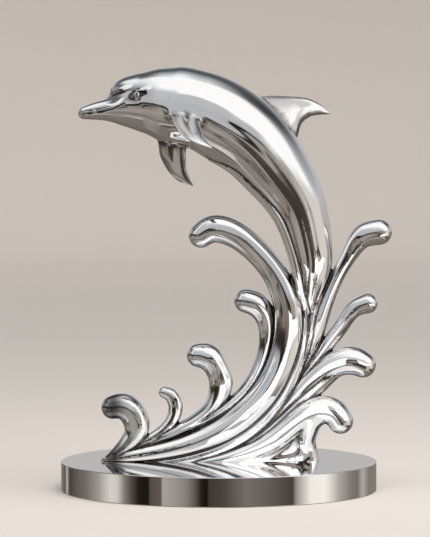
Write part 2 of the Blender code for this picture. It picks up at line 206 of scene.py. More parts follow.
# What the steel mirrors at each height above the horizon, in degrees: how bright a screen shows it
FRONT = [(-90, 104), (-62, 124), (-57, 57), (-53, 57), (-51.5, 198), (-48, 198), (-46, 132), (-38, 126),
         (-35, 81), (-32, 132), (-20, 150), (-13, 142), (-9, 108), (-7, 46), (-5, 48), (-3.5, 118), (-1, 124),
         (0.5, 56), (3, 32), (8, 42), (10.5, 178), (28, 186), (46, 200), (58, 250), (90, 252)]
REAR = [(-90, 104), (-50, 106), (-30, 91), (-10, 121), (-3, 86), (1, 166), (12, 184), (20, 168), (33, 110),
        (44, 78), (52, 92), (66, 172), (78, 233), (90, 252)]
LEFT = [(-90, 104), (-60, 112), (-40, 142), (-30, 96), (-18, 142), (-6, 111), (-2, 60), (6, 44), (10, 131),
        (22, 149), (32, 111), (39, 96), (47, 160), (55, 225), (66, 248), (90, 252)]

# Where the left and the rear stand before the front, round the studio: from, to and softness.
# 0 is behind the camera, 90 on its right and 180 behind the figure.
SECTORS = [(LEFT, (-160, -60, 40)), (REAR, (98, 236, 24))]

# Soft reflectors and shades before all that: brightness, reach round the studio and above the horizon
REFLECTORS = [
    (238, (-76, -60, 8), (14, 54, 8)),
    (150, (0, 30, 16), (-6, 2, 4)),
    (58, (2, 28, 8), (-32, -8, 8)),
    (170, (28, 60, 10), (-44, -2, 8)),
    (150, (26, 56, 10), (1, 14, 6)),
    (204, (54, 100, 12), (-26, 16, 8)),
    (56, (78, 98, 8), (-48, -26, 8)),
    (252, (40, 88, 16), (14, 34, 8)),
    (252, (22, 88, 16), (26, 50, 10)),
    (252, (-4, 88, 20), (38, 90, 12)),
    (60, (114, 136, 24), (26, 50, 26)),
]

# Flat lights in front of the waves, which only the steel mirrors: brightness, how far in front they
# stand, and their reach from left to right and from low to high, in metres
CARDS = [
    (246, 0.45, (0.42, 1.5), (0.2, 0.37)),
    (244, 0.2, (0.115, 0.25), (0.1, 0.385)),
    (240, 0.2, (0.0, 0.115), (0.08, 0.22)),
]

# Heights reach from -90 to 90 degrees, and the way round from -180 to 180
UPRIGHT, HALF_ROUND = 90.0, 180.0

# What the base's side mirrors, round the studio, and the heights between which that shows
BY_SIDE = [(-180, 140), (-150, 80), (-147, 180), (-143, 118), (-140, 60), (-112, 108), (-98, 148), (-85, 206),
           (-79, 200), (-72, 120), (-66, 72), (-60, 24), (-51.5, 20), (-51, 74), (-42, 88), (-41, 162),
           (-26, 137), (-19, 100), (-13, 32), (-8, 6), (-7.4, 54), (4, 68), (20, 110), (55, 58), (57, 132),
           (70, 234), (83, 238), (97, 166), (111, 122), (121, 108), (129, 168), (141, 118)]
SIDE_BAND = (-8.4, -5.0, 0.8)

# How warm the light is below the top of the horizon's dark line and above it, and the brightness from
# which it is plain white
LINE_TOP = 9
WARM_BELOW, COOL_ABOVE = 6, -3
WHITE = 245

# How a screen's brightness stands for light: the slope and end of the curve's straight part, then the
# lift and power of the rest
STRAIGHT, KNEE, LIFT, POWER = 12.92, 0.04045, 0.055, 2.4

# How much of the light the steel returns, and how the shade painted into its hollows looks
STEEL_TINT = (0.84, 0.832, 0.826)
SHADE_COLOR = (0.06, 0.052, 0.047)
SHADE_COVER = 0.92
SHADE_ROUGHNESS = 0.12
BROAD_SHADE_COLOR = (0.33, 0.29, 0.265)
BROAD_SHADE_COVER = 0.6

# The cloudiness of the steel's gloss and the waviness of its skin: how fine, and how many finer layers
CLOUD = (22.0, 4.0)
SWELL = (14.0, 1.0)

# How the figure's skin is closed: points this near the seat count as on it, and a corner whose
# direction is this far from its face's takes the face's
SEAT_SNAP = 0.0005
AGAINST = 0.3

# The base's drum, in metres: its broken rims and the edges held beside them, the ring inside its top
# as a share of its radius, and the angle past which an edge stays sharp
RIM, RIM_BESIDE, RIM_STEPS = 0.0012, 0.0004, 5
TOP_RING = 0.5
BASE_SIDES = 256
SHARP = math.radians(30)

# The round studio, in metres: its reach, its height, and the bend between floor and sides
STUDIO_REACH, STUDIO_HEIGHT, STUDIO_BEND = 13.0, 4.5, 2.5
STUDIO_STEPS, STUDIO_SIDES = 12, 96
FLOOR_COLOR, FLOOR_ROUGHNESS, FLOOR_GLOSS = (0.76, 0.693, 0.635), 0.9, 0.1


class Spline:
    """A natural cubic spline through rows of numbers, with the given spans between them"""

    def __init__(self, rows, spans):
        self.rows, self.spans = rows, spans
        self.knots = np.concatenate([[0], np.cumsum(spans)])
        self.length = self.knots[-1]
        count = len(self.knots)
        system, right = np.eye(count), np.zeros(rows.shape)
        for i in range(1, count - 1):
            before, after = spans[i - 1], spans[i]
            system[i, i - 1:i + 2] = before, 2 * (before + after), after
            right[i] = 6 * ((rows[i + 1] - rows[i]) / after - (rows[i] - rows[i - 1]) / before)
        self.bend = np.linalg.solve(system, right)

    def read(self, place):
        """Value, slope and curvature of every column at distances along the knots"""
        k = np.clip(np.searchsorted(self.knots, place, side="right") - 1, 0, len(self.spans) - 1)
        span = self.spans[k][:, None]
        left, rest = (self.knots[k + 1] - place)[:, None], (place - self.knots[k])[:, None]
        low, high = self.bend[k], self.bend[k + 1]
        start = self.rows[k] / span - low * span / 6
        end = self.rows[k + 1] / span - high * span / 6
        value = (low * left ** 3 + high * rest ** 3) / (6 * span) + start * left + end * rest
        slope = (high * rest ** 2 - low * left ** 2) / (2 * span) - start + end
        return value, slope, (low * left + high * rest) / span


class Sweep(Spline):
    """A round-ended bar along a spline, with elliptical sections"""

    def __init__(self, points, flutes=(), fluted=(-1.0, 0.0)):
        self.flutes, self.fluted = flutes, fluted
        rows = np.array([tuple(point) + (0.0,) * (6 - len(point)) for point in points], float)
        super().__init__(rows, np.linalg.norm(np.diff(rows[:, :3], axis=0), axis=1))
        count = max(FEWEST_STEPS, math.ceil(self.length / TUBE_STEP))
        self.places = np.linspace(0, self.length, count + 1)
        self.line = self.read(self.places)[0]
        self.girth = self.line[:, 3] * np.maximum(1, self.line[:, 4])

    def axes(self, slope, lean):
        """Direction, upward and sideways axes of the sections"""
        way = slope[:, :3] / np.linalg.norm(slope[:, :3], axis=1)[:, None]
        side = np.array((0.0, 1.0, 0.0)) - way * way[:, 1:2]
        side /= np.linalg.norm(side, axis=1)[:, None]
        up = np.cross(way, side)
        angle = np.radians(lean)[:, None]
        return way, up * np.cos(angle) + side * np.sin(angle), side * np.cos(angle) - up * np.sin(angle)

    def near(self, points):
        """The nearest place on the line for each point, and how far its skin is, roughly"""
        line = self.line[:, :3]
        apart = (points ** 2).sum(1)[:, None] - 2 * points @ line.T + (line ** 2).sum(1)[None]
        best = apart.argmin(axis=1)
        gap = np.sqrt(np.maximum(apart[np.arange(len(points)), best], 0)) - self.girth[best]
        return self.places[best], gap

    def field(self, points, place):
        """Distance to the skin, and the place that it was measured from"""
        for _ in range(SEARCHES):
            value, slope, curve = self.read(place)
            off = points - value[:, :3]
            error = (off * slope[:, :3]).sum(1)
            rate = (slope[:, :3] ** 2).sum(1) - (off * curve[:, :3]).sum(1)
            place = place + np.clip(error / np.maximum(rate, LEAST_RATE), -LONGEST_STRIDE, LONGEST_STRIDE)
            place = np.clip(place, 0, self.length)
        value, slope, _ = self.read(place)
        way, up, side = self.axes(slope, value[:, 5])
        off = points - value[:, :3]
        high = np.maximum(value[:, 3], THINNEST)
        broad = high * value[:, 4]
        along = (off * way).sum(1)
        along[(place > 0) & (place < self.length)] = 0
        rise, out = (off * up).sum(1), (off * side).sum(1)
        cap = np.minimum(high, broad)
        taper = slope[:, 3] / high
        square = (rise / high) ** 2 + (out / broad) ** 2 + (along / cap) ** 2 - 2 * along * taper
        reach = np.sqrt(np.maximum(square, TINY))
        steep = np.sqrt((rise / high ** 2) ** 2 + (out / broad ** 2) ** 2
                        + (along / cap ** 2 - taper * (along != 0)) ** 2 + TINIER)
        skin = reach * (reach - 1) / steep
        if self.flutes:
            angle = np.arctan2(out / broad, rise / high)
            share = eased(self.length, self.length - FLUTES_END, place) * eased(*self.fluted, np.abs(angle))
            for depth, count, shift in self.flutes:
                skin += share * depth * np.cos(count * angle + place / shift)
        return skin, place

    def frame(self, share):
        """Centre and axes at a share of the length, as the fins and the eyes are set on"""
        value, slope, _ = self.read(np.array([share * self.length]))
        way, up, side = self.axes(slope, value[:, 5])
        return value[0, :3], way[0], up[0], side[0], value[0, 3], value[0, 3] * value[0, 4]


class Blade:
    """A fin with elliptical sections between its leading and trailing edges"""

    def __init__(self, stations, origin, along, forward, flat, fold=0.0, front=0.0):
        self.origin, self.fold, self.front = origin, fold, front
        self.axes = np.array([along, forward, flat])
        self.reach, leading, trailing, thick = np.array(stations, float).T
        nothing = np.zeros(len(thick))
        rows = [self.reach, nothing, nothing, (leading + trailing) / 2, (leading - trailing) / 2, thick]
        self.shape = Spline(np.column_stack(rows), np.diff(self.reach))

    def sections(self, reach):
        """Middle, half-width and half-thickness at distances along the fin"""
        value = self.shape.read(np.clip(reach, self.reach[0], self.reach[-1]) - self.reach[0])[0]
        return value[:, 3], np.maximum(value[:, 4], NARROWEST), np.maximum(value[:, 5], THINNEST)

    def near(self, points):
        local = (points - self.origin) @ self.axes.T
        middle, width, thick = self.sections(local[:, 0])
        over = np.maximum(local[:, 0] - self.reach[-1], 0) + np.maximum(self.reach[0] - local[:, 0], 0)
        beside = np.maximum(np.abs(local[:, 1] - middle) - width, 0)
        return local[:, 0], np.maximum(np.maximum(over, beside), np.abs(local[:, 2]) - thick)

    def field(self, points, place):
        local = (points - self.origin) @ self.axes.T
        middle, width, thick = self.sections(local[:, 0])
        over = np.maximum(local[:, 0] - self.reach[-1], 0)
        cap = FIN_CAP * thick
        forth, out = local[:, 1] - middle, local[:, 2]
        fading = eased(self.reach[-1] * FOLD_ENDS, 0, local[:, 0])
        fold = self.fold * np.exp(-(forth / FOLD_WIDTH) ** 2) * fading
        thick = thick * (1 - fold) * (1 + self.front * np.clip(forth / width, -1, 1))
        reach = np.sqrt((forth / width) ** 2 + (out / thick) ** 2 + (over / cap) ** 2 + TINY)
        steep = np.sqrt((forth / width ** 2) ** 2 + (out / thick ** 2) ** 2 + (over / cap ** 2) ** 2 + TINIER)
        return reach * (reach - 1) / steep, place

    def rings(self):
        """The fin's own surface as rings of points, from root to tip"""
        places = np.linspace(self.reach[0], self.reach[-1], BLADE_RINGS)
        middle, width, thick = self.sections(places)
        angles = np.linspace(0, 2 * math.pi, BLADE_SIDES, endpoint=False)
        local = np.stack([np.repeat(places[:, None], BLADE_SIDES, 1),
                          middle[:, None] + width[:, None] * np.cos(angles),
                          thick[:, None] * np.sin(angles)], axis=2)
        return local @ self.axes + self.origin


def dorsal_fin(body):
    centre, way, up, side, _, _ = body.frame(DORSAL_AT)
    along = way * math.cos(DORSAL_SWEEP) + up * math.sin(DORSAL_SWEEP)
    forward = up * math.cos(DORSAL_SWEEP) - way * math.sin(DORSAL_SWEEP)
    return Blade(DORSAL_FIN, centre, along, forward, side, front=DORSAL_FRONT)


def flipper(body, hand):
    """A pectoral fin: hand is 1 on the near side and -1 on the far side"""
    centre, way, up, side, _, _ = body.frame(FLIPPER_AT)
    out, down = side * -hand, -up
    back, breadth, depth = FLIPPER_ROOT[hand]
    root = centre + way * back + out * breadth + down * depth
    splay = FLIPPER_SPLAY[hand]
    hang = out * math.sin(splay) + down * math.cos(splay)
    sweep = FLIPPER_SWEEP[hand]
    along = way * math.cos(sweep) + hang * math.sin(sweep)
    forward = hang * math.cos(sweep) - way * math.sin(sweep)
    return Blade(FLIPPER, root, along, forward, np.cross(along, forward), FLIPPER_FOLD)


class Bead:
    """An ellipsoid, such as a lid or an eyeball"""

    def __init__(self, centre, axes, size):
        self.centre, self.axes, self.size = centre, np.array(axes), np.array(size, float)

    def near(self, points):
        local = np.abs((points - self.centre) @ self.axes.T)
        return np.zeros(len(points)), np.linalg.norm(np.maximum(local - self.size, 0), axis=1)

    def field(self, points, place):
        local = (points - self.centre) @ self.axes.T
        reach = np.sqrt(((local / self.size) ** 2).sum(1) + TINY)
        steep = np.sqrt(((local / self.size ** 2) ** 2).sum(1) + TINIER)
        return reach * (reach - 1) / steep, place


def eyes(snout):
    """Lids, the opening between them and the ball, on both sides of the head"""
    centre, way, up, side, _, broad = snout.frame(EYE_AT)
    lids, openings, balls = [], [], []
    for out in (side, -side):
        place = centre + out * broad + up * EYE_RISE
        lids.append(Bead(place, (way, up, out), EYE_LIDS))
        openings.append(Bead(place + out * EYE_LIDS[2], (way, up, out), EYE_OPENING))
        balls.append(Bead(place - out * EYE_SUNK, (way, up, out), (EYE_BALL,) * 3))
    return lids, openings, balls


def jaw_groove(snout, lift, radius):
    """A round groove on the snout's skin, from corner to corner round its tip"""
    tip, way, up, side, high, broad = snout.frame(0)
    cap = min(high, broad)
    outs = np.linspace(0, JAW_BREADTH, JAW_TRIES)
    line = []
    for (along, height), raised in zip(MOUTH, lift):
        middle = tip + way * along + up * (height + raised)
        across = middle + outs[:, None] * side
        skin = snout.field(across, snout.near(across)[0])[0]
        on_cap = broad * math.sqrt(max(0.0, 1 - (along / cap) ** 2))
        line.append((middle, outs[np.argmin(np.abs(skin))] if along > 0 else on_cap))
    near = [middle - side * out for middle, out in line[:0:-1]]
    far = [middle + side * out for middle, out in line]
    return Sweep([(*point, radius, 1) for point in near + far])


def carved(whole, tool, edge):
    """The whole without the tool, with softly broken edges"""
    return np.maximum(whole, -tool) + np.maximum(edge - np.abs(whole + tool), 0) ** 2 / (4 * edge)


def eased(low, high, value):
    """0 at low and 1 at high, with a smooth rise between them"""
    share = np.clip((value - low) / (high - low), 0, 1)
    return share * share * (3 - 2 * share)


def blended(first, second, fillet):
    """The union of two distances, with a fillet of that size in the valley"""
    return np.minimum(first, second) - np.maximum(fillet - np.abs(first - second), 0) ** 2 / (4 * fillet)


class Figure:
    """The whole figure as one distance: the dolphin, its fins and the strands of the waves"""

    def __init__(self):
        self.body = Sweep(BODY, BELLY_FLUTES, (BELLY_FROM, BELLY_TO))
        self.snout = Sweep(SNOUT)
        lids, openings, balls = eyes(self.snout)
        grooves = [jaw_groove(self.snout, [0] * len(MOUTH), MOUTH_GROOVE),
                   jaw_groove(self.snout, LIP_LIFT, LIP_GROOVE)]
        fins = [dorsal_fin(self.body), flipper(self.body, 1), flipper(self.body, -1)]
        loose = [Sweep(points, STRAND_FLUTES) for name, points in STRANDS.items()
                 if name not in FOOT_GROUP]
        self.groups = {
            "head": [self.body, self.snout], "fins": fins, "ridge": [Sweep(BELLY_RIDGE)], "lids": lids,
            "openings": openings, "balls": balls, "grooves": grooves, "strands": loose,
            "foot": [Sweep(STRANDS[name]) for name in FOOT_GROUP]}
        self.parts = [part for group in self.groups.values() for part in group]
        self.bars = [self.body, self.snout, *self.groups["ridge"], *loose, *self.groups["foot"]]

    def aim(self, points):
        """Notes which points are near each part, and the nearest place on it"""
        self.active = {}
        for part in self.parts:
            place, gap = part.near(points)
            chosen = np.nonzero(gap < REACH)[0]
            self.active[part] = (chosen, place[chosen])

    def part_field(self, part, points):
        chosen, place = self.active[part]
        found = np.full(len(points), FAR)
        if len(chosen):
            found[chosen], place = part.field(points[chosen], place)
            self.active[part] = (chosen, place)
        return found

    def joined_group(self, name, points, fillet):
        """The union of a group's parts"""
        whole = np.full(len(points), FAR)
        for part in self.groups[name]:
            whole = blended(whole, self.part_field(part, points), fillet)
        return whole

    def field(self, points):
        """Distance to the figure's skin, once aim() has been called for these points"""
        body, snout = self.part_field(self.body, points), self.part_field(self.snout, points)
        share = eased(HEAD_FILLET_FROM, HEAD_FILLET_TO, points[:, 0])
        dolphin = blended(body, snout, HEAD_FILLET[0] + (HEAD_FILLET[1] - HEAD_FILLET[0]) * share)
        dolphin += CREASE_DEPTH * self.crease(points)
        for fin in self.groups["fins"]:
            dolphin = blended(dolphin, self.part_field(fin, points), FIN_FILLET)
        dolphin = blended(dolphin, self.joined_group("ridge", points, RIDGE_FILLET), RIDGE_FILLET)
        dolphin = blended(dolphin, self.joined_group("lids", points, CARVED_EDGE), CARVED_EDGE)
        for name in ("openings", "grooves"):
            dolphin = carved(dolphin, self.joined_group(name, points, CARVED_EDGE), CARVED_EDGE)
        dolphin = blended(dolphin, self.joined_group("balls", points, CARVED_EDGE), CARVED_EDGE)
        waves = blended(self.joined_group("strands", points, STRAND_FILLET),
                        self.joined_group("foot", points, FOOT_FILLET), STRAND_FILLET)
        return blended(dolphin, waves, TAIL_FILLET)

    def fine_zone(self, points):
        """Which points are close to the head's carving, once aim() has been called for them"""
        close = np.minimum(self.joined_group("lids", points, CARVED_EDGE),
                           self.joined_group("grooves", points, CARVED_EDGE)) < FINE_REACH
        body, snout = self.part_field(self.body, points), self.part_field(self.snout, points)
        crease = (np.abs(body - snout) < CREASE_WIDTH) & (np.abs(body) < FINE_REACH + CREASE_DEPTH)
        return close | (crease & (points[:, 0] > CREASE_FROM) & (points[:, 0] < CREASE_TO))

    def slope(self, points):
        """Outward direction of the distance, and how fast it grows"""
        found = np.empty((len(points), 3))
        for axis in range(3):
            step = np.zeros(3)
            step[axis] = SLOPE_STEP
            found[:, axis] = (self.field(points + step) - self.field(points - step)) / (2 * SLOPE_STEP)
        size = np.maximum(np.linalg.norm(found, axis=1), TINY)
        return found / size[:, None], size

    def crease(self, points):
        """How deep in the crease over the snout each point lies, from 0 to 1"""
        body, snout = self.part_field(self.body, points), self.part_field(self.snout, points)
        along = np.clip((points[:, 0] - CREASE_FROM) / (CREASE_TO - CREASE_FROM), 0, 1)
        return np.sin(math.pi * along) ** 2 * np.exp(-((body - snout) / CREASE_WIDTH) ** 2)

    def hollow(self, points, step, low, high):
        """How far each point lies in a hollow, from 0 to 1, by the bend of the distance round it"""
        bend = -6 * self.field(points)
        for axis in range(3):
            move = np.zeros(3)
            move[axis] = step
            bend += self.field(points + move) + self.field(points - move)
        return eased(low, high, -bend / step ** 2)

    def eye_shade(self, points):
        """Painted shade inside the lids and on the pupils, from 0 to 1"""
        opening = self.joined_group("openings", points, CARVED_EDGE)
        balls = self.joined_group("balls", points, CARVED_EDGE)
        shade = eased(*LID_SHADE, np.abs(opening)) * eased(*BALL_SHADE, balls)
        for ball in self.groups["balls"]:
            pole = ball.centre + ball.axes[2] * ball.size[2]
            off = np.linalg.norm(points - pole, axis=1)
            shade = np.maximum(shade, eased(PUPIL + PUPIL_EDGE, PUPIL, off))
        return shade

    def residue(self, points):
        """Painted shade in the tight hollows, the crease and the eyes, from 0 to 1"""
        dark = np.maximum(self.hollow(points, *SHADE_BEND), self.eye_shade(points))
        return np.maximum(dark, self.crease(points))

    def settle(self, points, rounds):
        """Moves points onto the skin along its slope"""
        for _ in range(rounds):
            normal, size = self.slope(points)
            move = np.clip(self.field(points) / np.maximum(size, LEAST_SLOPE), -LONGEST_MOVE, LONGEST_MOVE)
            points = points - normal * move[:, None]
        return points


class Wire:
    """An output of a node. Arithmetic on wires and numbers adds Math nodes."""

    def __init__(self, tree, socket=None):
        self.tree, self.socket = tree, socket

    def make(self, kind, settings=(), sockets=(), output=0):
        """Adds any node: its settings first, then values or wires for its sockets"""
        node = self.tree.nodes.new(kind)
        for name, value in dict(settings).items():
            if name == "stops":
                self.set_stops(node.color_ramp, value)
            else:
                setattr(node, name, value)
        for name, value in dict(sockets).items():
            if isinstance(value, Wire):
                self.tree.links.new(value.socket, node.inputs[name])
            else:
                node.inputs[name].default_value = value
        return Wire(self.tree, node.outputs[output]) if len(node.outputs) else node

    @staticmethod
    def set_stops(ramp, stops):
        while len(ramp.elements) < len(stops):
            ramp.elements.new(0.5)
        for element, (place, color) in zip(ramp.elements, stops):
            element.position = place
            element.color = (*color, 1.0)

    def math(self, operation, first, second):
        return self.make("ShaderNodeMath", {"operation": operation}, {0: first, 1: second})

    def __add__(self, other):
        return self.math("ADD", self, other)

    def __radd__(self, other):
        return self.math("ADD", other, self)

    def __sub__(self, other):
        return self.math("SUBTRACT", self, other)

    def __rsub__(self, other):
        return self.math("SUBTRACT", other, self)

    def __mul__(self, other):
        return self.math("MULTIPLY", self, other)

    def __rmul__(self, other):
        return self.math("MULTIPLY", other, self)

    def __truediv__(self, other):
        return self.math("DIVIDE", self, other)

    def __rtruediv__(self, other):
        return self.math("DIVIDE", other, self)

    def __neg__(self):
        return self * -1.0

    def ramp(self, stops):
        return self.make("ShaderNodeValToRGB", {"stops": stops}, {0: self})

    def band(self, low, high, soft):
        """1 between low and high degrees and 0 elsewhere, with soft edges"""
        middle, half = (low + high) / 2, (high - low) / 2
        wrapped = self.make("ShaderNodeMath", {"operation": "WRAP"},
                            {0: self - middle, 1: HALF_ROUND, 2: -HALF_ROUND})
        off = self.make("ShaderNodeMath", {"operation": "ABSOLUTE"}, {0: wrapped})
        return self.make("ShaderNodeMapRange", {"interpolation_type": "SMOOTHSTEP"},
                         {0: off, 1: half + soft / 2, 2: half - soft / 2})

    def noise(self, scale, detail):
        """Soft noise over a place"""
        return self.make("ShaderNodeTexNoise", sockets={"Vector": self, "Scale": scale, "Detail": detail})

    def mixed(self, under, over):
        """One colour over another, as strongly as this wire says"""
        return self.make("ShaderNodeMix", {"data_type": "RGBA"}, {0: self, 6: under, 7: over}, output=2)


def linked(thing):
    """Puts an object into the scene"""
    bpy.context.scene.collection.objects.link(thing)
    return thing


def piece_from_mesh(name, mesh, material=None):
    if material:
        mesh.materials.clear()
        mesh.materials.append(material)
    return linked(bpy.data.objects.new(name, mesh))


def mesh_from(shape, name):
    """The finished bmesh as a plain mesh"""
    mesh = bpy.data.meshes.new(name)
    shape.to_mesh(mesh)
    shape.free()
    return mesh


def plain_mesh(piece, name):
    """What the modifiers make of a piece, as a plain mesh; the piece itself goes"""
    graph = bpy.context.evaluated_depsgraph_get()
    mesh = bpy.data.meshes.new_from_object(piece.evaluated_get(graph))
    mesh.name = name
    bpy.data.objects.remove(piece, do_unlink=True)
    return mesh


def tube_tree():
    """Sweeps a round section along each line, then presses it flat or deep along its side axis"""
    tree = bpy.data.node_groups.new("swept_bars", "GeometryNodeTree")
    for name, kind, way in (("Lines", "Geometry", "INPUT"), ("Sides", "Int", "INPUT"),
                            ("Steel", "Material", "INPUT"), ("Bars", "Geometry", "OUTPUT")):
        tree.interface.new_socket(name, in_out=way, socket_type="NodeSocket" + kind)
    start = Wire(tree)
    lines, sides, steel = (start.make("NodeGroupInput", output=name)
                           for name in ("Lines", "Sides", "Steel"))

    def layer(name, kind):
        return start.make("GeometryNodeInputNamedAttribute", {"data_type": kind}, {"Name": name})

    centre, side = layer("centre", "FLOAT_VECTOR"), layer("side", "FLOAT_VECTOR")
    curve = start.make("GeometryNodeMeshToCurve", sockets={"Mesh": lines})
    section = start.make("GeometryNodeCurvePrimitiveCircle", sockets={"Resolution": sides, "Radius": 1.0})
    bars = start.make("GeometryNodeCurveToMesh", sockets={
        "Curve": curve, "Profile Curve": section, "Scale": layer("girth", "FLOAT"), "Fill Caps": True})
    place = start.make("GeometryNodeInputPosition")
    off = start.make("ShaderNodeVectorMath", {"operation": "SUBTRACT"}, {0: place, 1: centre})
    out = start.make("ShaderNodeVectorMath", {"operation": "DOT_PRODUCT"}, {0: off, 1: side}, output="Value")
    amount = out * (layer("press", "FLOAT") - 1.0)
    move = start.make("ShaderNodeVectorMath", {"operation": "SCALE"}, {0: side, "Scale": amount})
    pressed = start.make("GeometryNodeSetPosition", sockets={"Geometry": bars, "Offset": move})
    real = start.make("GeometryNodeRealizeInstances", sockets={"Geometry": pressed})
    made = start.make("GeometryNodeSetMaterial", sockets={"Geometry": real, "Material": steel})
    start.make("NodeGroupOutput", sockets={"Bars": made})
    return tree


def cap_rows(row, way, cap):
    """The round end of a bar, outwards from its last row"""
    centre, side, girth, press = row
    angles = np.linspace(0, math.pi / 2, CAP_STEPS + 1)[1:]
    return [(centre + way * cap * math.sin(a), side, girth * max(math.cos(a), CAP_END), press)
            for a in angles]


def bar_lines(sweeps):
    """One chain of edges for each sweep, with what the tree needs to know at each point"""
    columns = {"centre": [], "side": [], "girth": [], "press": []}
    edges = []
    for sweep in sweeps:
        value, slope, _ = sweep.read(sweep.places)
        way, _, side = sweep.axes(slope, value[:, 5])
        high, press = value[:, 3], value[:, 4]
        cap = np.minimum(high, high * press)
        rows = list(zip(value[:, :3], side, high, press))
        rows = cap_rows(rows[0], -way[0], cap[0])[::-1] + rows + cap_rows(rows[-1], way[-1], cap[-1])
        first = len(columns["girth"])
        for row in rows:
            for name, item in zip(columns, row):
                columns[name].append(item)
        edges += [(first + i, first + i + 1) for i in range(len(rows) - 1)]
    mesh = bpy.data.meshes.new("bar_lines")
    mesh.from_pydata([tuple(point) for point in columns["centre"]], edges, [])
    for name, column in columns.items():
        kind, field = ("FLOAT_VECTOR", "vector") if name in ("centre", "side") else ("FLOAT", "value")
        layer = mesh.attributes.new(name, kind, "POINT")
        layer.data.foreach_set(field, np.array(column, np.float32).ravel())
    return mesh


def add_tree(piece, tree, **values):
    """Puts the tree on the piece and sets its named inputs by their sockets' identifiers"""
    modifier = piece.modifiers.new(tree.name, "NODES")
    modifier.node_group = tree
    sockets = {item.name: item.identifier for item in tree.interface.items_tree}
    for name, value in values.items():
        modifier[sockets[name]] = value


def band_faces(shape, rings):
    """Squares between each ring of points and the next"""
    for before, after in zip(rings, rings[1:]):
        for i in range(len(before)):
            j = (i + 1) % len(before)
            shape.faces.new((before[i], before[j], after[j], after[i]))


def blade_mesh(blade):
    """The fin as a closed mesh"""
    shape = bmesh.new()
    rings = [[shape.verts.new(point) for point in ring] for ring in blade.rings()]
    band_faces(shape, rings)
    shape.faces.new(rings[0][::-1])
    shape.faces.new(rings[-1])
    bmesh.ops.recalc_face_normals(shape, faces=shape.faces)
    return mesh_from(shape, "blade")


def rough_mesh(figure, steel):
    """The swept bars and the fins, overlapping, then wrapped in one skin of small squares"""
    lines = piece_from_mesh("bar_lines", bar_lines(figure.bars))
    add_tree(lines, tube_tree(), Sides=TUBE_SIDES, Steel=steel)
    shape = bmesh.new()
    for mesh in [plain_mesh(lines, "bars")] + [blade_mesh(blade) for blade in figure.groups["fins"]]:
        shape.from_mesh(mesh)
        bpy.data.meshes.remove(mesh)
    piece = piece_from_mesh("overlapping", mesh_from(shape, "overlapping"))
    wrap = piece.modifiers.new("wrap", "REMESH")
    wrap.mode = "VOXEL"
    wrap.voxel_size = SQUARE
    return plain_mesh(piece, "wrapped")


def mesh_points(mesh):
    points = np.empty(len(mesh.vertices) * 3)
    mesh.vertices.foreach_get("co", points)
    return points.reshape(-1, 3)


def settled(mesh, figure, rounds):
    """Moves the mesh's points onto the figure's own surface"""
    points = mesh_points(mesh)
    figure.aim(points)
    mesh.vertices.foreach_set("co", figure.settle(points, rounds).astype(np.float32).ravel())
    mesh.update()
    return mesh


def thinned(mesh, most):
    """Fewer triangles where the skin is flat"""
    mesh.calc_loop_triangles()
    piece = piece_from_mesh("thinning", mesh)
    thin = piece.modifiers.new("thin", "DECIMATE")
    thin.ratio = min(1.0, most / len(mesh.loop_triangles))
    return plain_mesh(piece, "thinned")


def refined(mesh, figure):
    """Halves the edges round the head's carving"""
    points = mesh_points(mesh)
    figure.aim(points)
    fine = figure.fine_zone(points)
    shape = bmesh.new()
    shape.from_mesh(mesh)
    edges = [edge for edge in shape.edges if fine[edge.verts[0].index] and fine[edge.verts[1].index]]
    bmesh.ops.subdivide_edges(shape, edges=edges, cuts=1)
    bmesh.ops.triangulate(shape, faces=[face for face in shape.faces if len(face.verts) > 3])
    shape.to_mesh(mesh)
    shape.free()
    return mesh


def seated(mesh):
    """Cuts the figure flat at its seat and closes it there"""
    shape = bmesh.new()
    shape.from_mesh(mesh)
    everything = shape.verts[:] + shape.edges[:] + shape.faces[:]
    bmesh.ops.bisect_plane(shape, geom=everything, dist=SEAT_SNAP, plane_co=(0, 0, 0), plane_no=(0, 0, 1),
                           clear_inner=True)
    rim = [edge for edge in shape.edges if edge.is_boundary]
    bmesh.ops.triangle_fill(shape, edges=rim, use_beauty=True)
    bmesh.ops.recalc_face_normals(shape, faces=shape.faces)
    return mesh_from(shape, "seated")


def smooth_normals(mesh, normal):
    """Gives each corner the skin's own direction, and the seat's corners the seat's"""
    corners = np.empty(len(mesh.loops), np.int64)
    mesh.loops.foreach_get("vertex_index", corners)
    counts = np.empty(len(mesh.polygons), np.int64)
    mesh.polygons.foreach_get("loop_total", counts)
    faces = np.empty(len(mesh.polygons) * 3)
    mesh.polygons.foreach_get("normal", faces)
    facing = np.repeat(faces.reshape(-1, 3), counts, axis=0)
    wanted = normal[corners]
    against = (wanted * facing).sum(1) < AGAINST
    wanted[against] = facing[against]
    mesh.shade_smooth()
    mesh.normals_split_custom_set([tuple(row) for row in wanted])


def dolphin_and_waves(steel):
    """The figure as one fine mesh whose points lie on its own curved surface"""
    figure = Figure()
    mesh = settled(rough_mesh(figure, steel), figure, FIRST_SETTLING)
    mesh = settled(thinned(mesh, MOST_TRIANGLES), figure, SETTLING)
    for _ in range(FINE_ROUNDS):
        mesh = settled(refined(mesh, figure), figure, SETTLING)
    mesh = seated(mesh)
    points = mesh_points(mesh)
    figure.aim(points)
    normal, _ = figure.slope(points)
    # Painted shade for the hollows, the eyes and the crease, kept as layers on the points
    layers = {"residue": figure.residue(points), "tarnish": figure.hollow(points, *BROAD_SHADE_BEND)}
    for name, values in layers.items():
        mesh.attributes.new(name, "FLOAT", "POINT").data.foreach_set("value", values.astype(np.float32))
    mesh.transform(Matrix.Translation((0, 0, SEAT)) @ Matrix.Scale(UNIT, 4))
    smooth_normals(mesh, normal)
    mesh.name = "steel_figure"
    return piece_from_mesh("steel_figure", mesh, steel)


